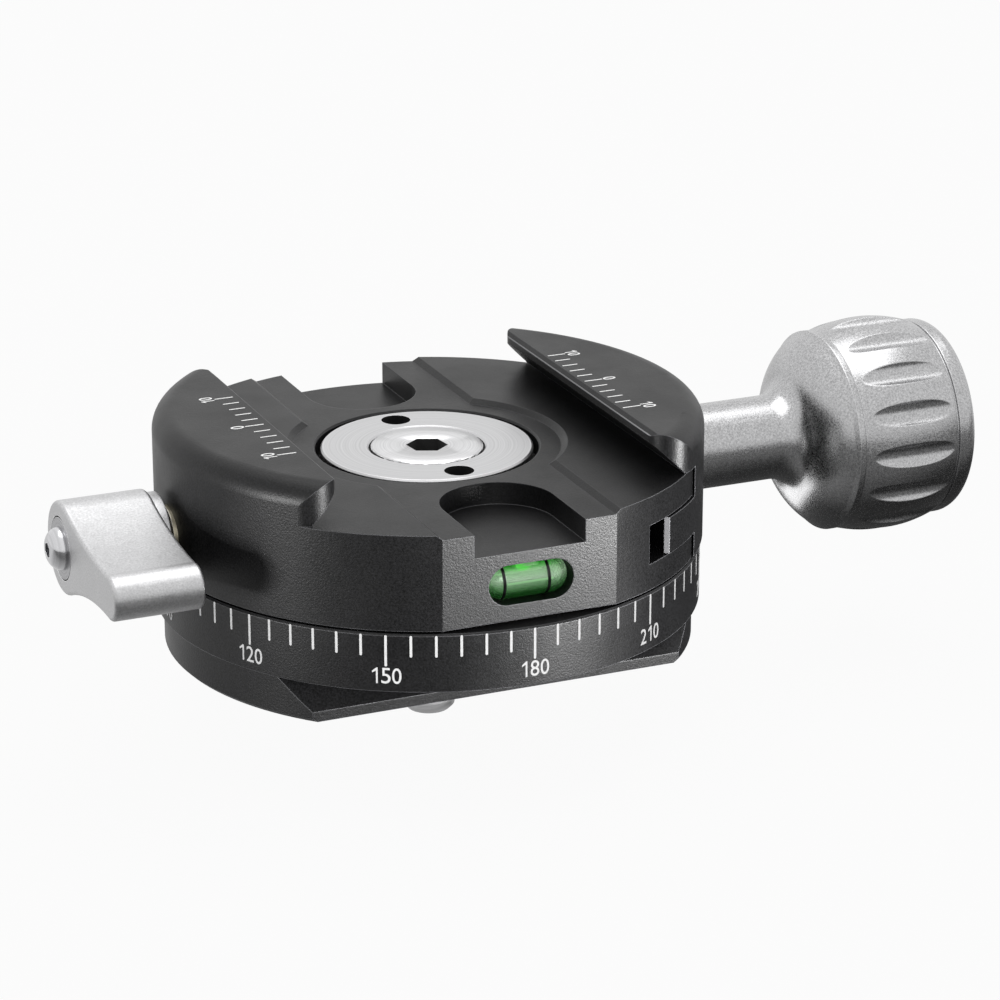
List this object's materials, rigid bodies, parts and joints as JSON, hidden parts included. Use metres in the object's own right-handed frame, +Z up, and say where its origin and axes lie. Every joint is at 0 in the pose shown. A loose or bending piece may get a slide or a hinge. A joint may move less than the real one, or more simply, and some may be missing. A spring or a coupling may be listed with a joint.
{
  "type": "panoramic tripod head",
  "caption": "Low round panoramic tripod head: degree-scale base under a turning dovetail clamp with a scalloped knob, a bubble level and a ratchet lock lever.",
  "frame": {"origin": "where the turning axis meets the underside of the base plate", "axes": "+Z up along the turning axis; +X along the clamp knob, away from the head; -Y the flat with the level; the clamp's channel runs along Y"},
  "size_m": [0.1063, 0.06, 0.0384],
  "materials": {
    "black_anodised": "fine-blasted black anodised aluminium",
    "silver_blasted": "bead-blasted clear anodised aluminium",
    "silver_turned": "fine-turned clear anodised aluminium",
    "silver_lever": "satin clear anodised aluminium",
    "steel": "turned stainless steel",
    "steel_polished": "polished stainless steel",
    "spring_steel": "spring steel wire",
    "brass": "turned brass",
    "bearing_plastic": "low-friction bearing plastic, ivory",
    "vial_clear": "clear acrylic",
    "vial_liquid": "clear green liquid"
  },
  "bodies": {
    "base": {"scale_base": "black_anodised", "retaining_disc": "silver_turned", "mounting_screw": "steel", "thrust_washer": "bearing_plastic", "hub_washer": "bearing_plastic", "flange_washer": "bearing_plastic"},
    "clamp": {"clamp_body": "black_anodised", "level_vial": "vial_clear", "level_liquid": "vial_liquid", "stud_bush": "brass", "jaw_springs": "spring_steel"},
    "jaw": {"movable_jaw": "black_anodised", "guide_pins": "steel", "knob_washer": "bearing_plastic"},
    "knob": {"clamp_knob": "silver_blasted", "clamp_screw": "steel"},
    "shoe": {"brake_shoe": "brass"},
    "stud": {"lock_stud": "steel", "lever_insert": "steel", "lever_washer": "steel", "lever_screw": "steel_polished", "lever_spring": "spring_steel"},
    "lever": {"lock_lever": "silver_lever"}
  },
  "joints": [
    {"name": "pan", "type": "hinge", "parent": "base", "child": "clamp", "pos_m": [0, 0, 0], "axis": [0, 0, 1], "continuous": true},
    {"name": "jaw_slide", "type": "slide", "parent": "clamp", "child": "jaw", "axis": [1, 0, 0], "range_m": [0, 0.005], "deforming": ["jaw_springs"]},
    {"name": "knob_turn", "type": "hinge", "parent": "jaw", "child": "knob", "pos_m": [0.03, 0, 0.01675], "axis": [1, 0, 0], "range_deg": [0, 1800]},
    {"name": "brake_slide", "type": "slide", "parent": "clamp", "child": "shoe", "axis": [1, 0, 0], "range_m": [-0.00027, 0]},
    {"name": "lock_turn", "type": "hinge", "parent": "shoe", "child": "stud", "pos_m": [-0.03, 0, 0.0156], "axis": [1, 0, 0], "range_deg": [-120, 0]},
    {"name": "lever_pull", "type": "slide", "parent": "stud", "child": "lever", "axis": [-1, 0, 0], "range_m": [0, 0.0025], "stiffness_N_per_m": 500, "springref_m": -0.002, "deforming": ["lever_spring"]}
  ],
  "couplings": [
    {"joint": "knob_turn", "follows": "jaw_slide", "rad_per_m": 6283.2},
    {"joint": "brake_slide", "follows": "lock_turn", "m_per_rad": 0.00012732}
  ]
}
